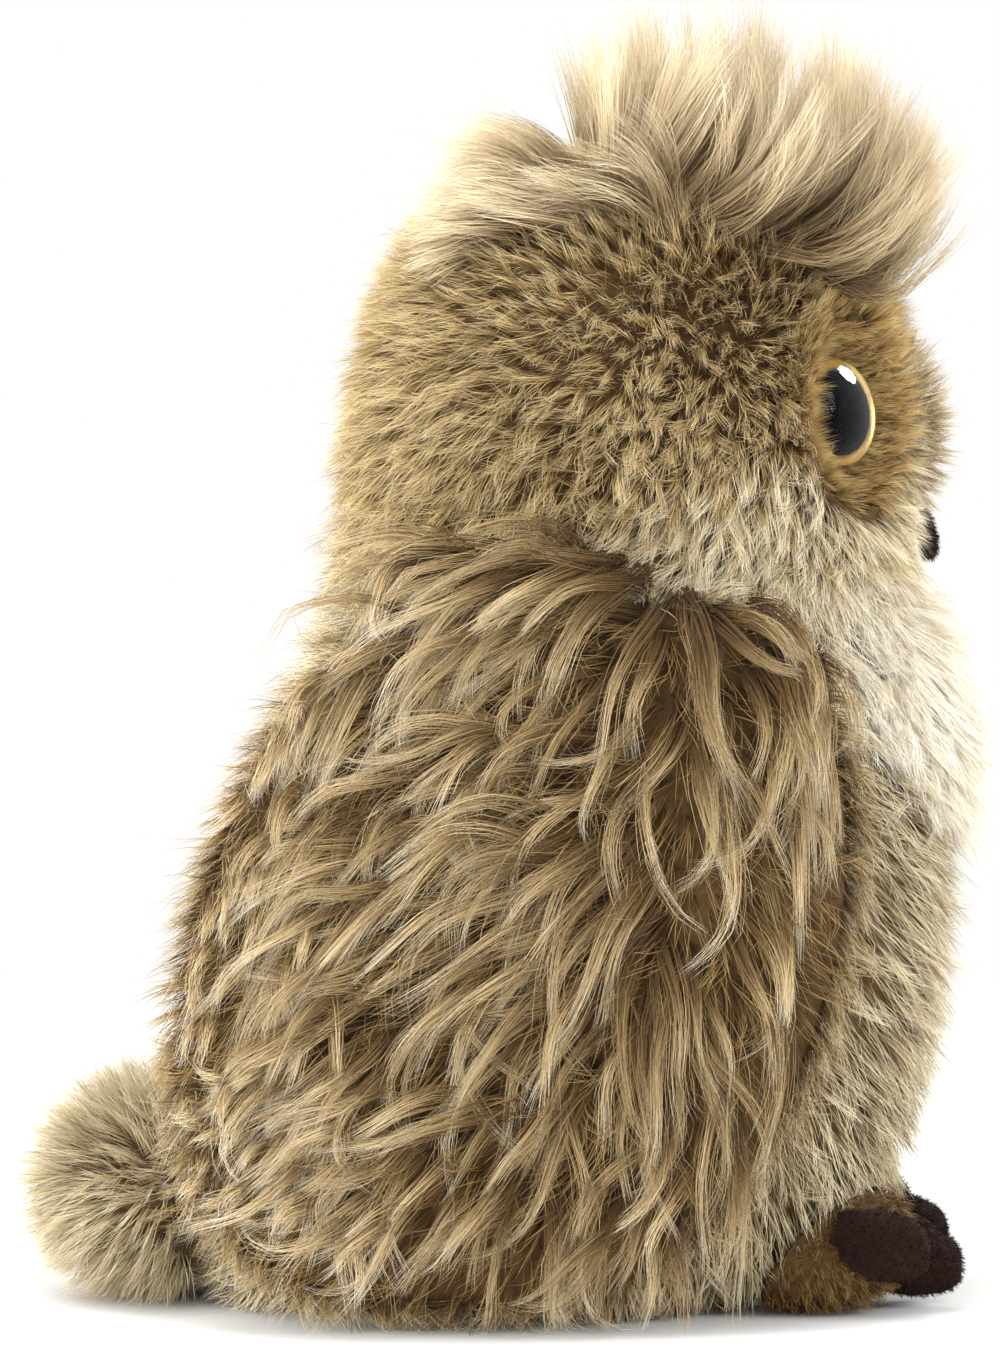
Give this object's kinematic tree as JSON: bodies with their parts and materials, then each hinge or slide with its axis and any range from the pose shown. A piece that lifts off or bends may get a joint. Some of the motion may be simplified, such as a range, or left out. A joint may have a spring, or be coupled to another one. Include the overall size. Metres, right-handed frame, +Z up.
{
  "type": "plush owl",
  "caption": "Stuffed owl with a pile body and head, long haired wings hinged at the shoulder, ear tufts, ball tail, dished face discs with domed eyes and padded toes.",
  "frame": {"origin": "centre of the overall box, on the surface that the owl stands on", "axes": "+Z up, the owl faces -Y, and its own right wing is on the -X side"},
  "size_m": [0.1558, 0.1888, 0.2584],
  "materials": {
    "pile_olive": "upright olive beige pile with dark roots",
    "pile_long": "long wavy blond pile with brown roots",
    "pile_cream": "combed cream pile",
    "pile_golden": "short golden brown plush",
    "pile_brow": "short mottled brown plush",
    "suede_brown": "very short dark brown plush",
    "lining_cloth": "short brown plush cloth",
    "fibre_white": "loose polyester fibre",
    "bag_cloth": "plain woven cloth over plastic pellets",
    "lens_clear": "clear polished plastic",
    "iris_gold": "gold foil",
    "backing_black": "black moulded plastic",
    "washer_plastic": "natural moulded plastic"
  },
  "bodies": {
    "root": {"body_shell": "pile_olive", "head_shell": "pile_olive", "tail": "pile_olive", "chest_bib": "pile_cream", "brow_bridge": "pile_brow", "beak": "suede_brown", "base_panel": "lining_cloth", "pellet_bag": "bag_cloth", "body_stuffing": "fibre_white", "head_stuffing": "fibre_white", "face_disc_right": "pile_golden", "eye_lens_right": "lens_clear", "eye_iris_right": "iris_gold", "eye_back_right": "backing_black", "eye_washer_right": "washer_plastic", "ear_tuft_right": "pile_long", "foot_right": "pile_golden", "toe_right_inner": "suede_brown", "toe_right_middle": "suede_brown", "toe_right_outer": "suede_brown", "face_disc_left": "pile_golden", "eye_lens_left": "lens_clear", "eye_iris_left": "iris_gold", "eye_back_left": "backing_black", "eye_washer_left": "washer_plastic", "ear_tuft_left": "pile_long", "foot_left": "pile_golden", "toe_left_inner": "suede_brown", "toe_left_middle": "suede_brown", "toe_left_outer": "suede_brown"},
    "wing_right": {"wing_right": "pile_long", "wing_lining_right": "lining_cloth"},
    "wing_left": {"wing_left": "pile_long", "wing_lining_left": "lining_cloth"}
  },
  "joints": [
    {"name": "wing_right_lift", "type": "hinge", "parent": "root", "child": "wing_right", "pos_m": [-0.0535, -0.009, 0.147], "axis": [0, 1, 0], "range_deg": [0, 70]},
    {"name": "wing_left_lift", "type": "hinge", "parent": "root", "child": "wing_left", "pos_m": [0.0535, -0.009, 0.147], "axis": [0, -1, 0], "range_deg": [0, 70]}
  ]
}
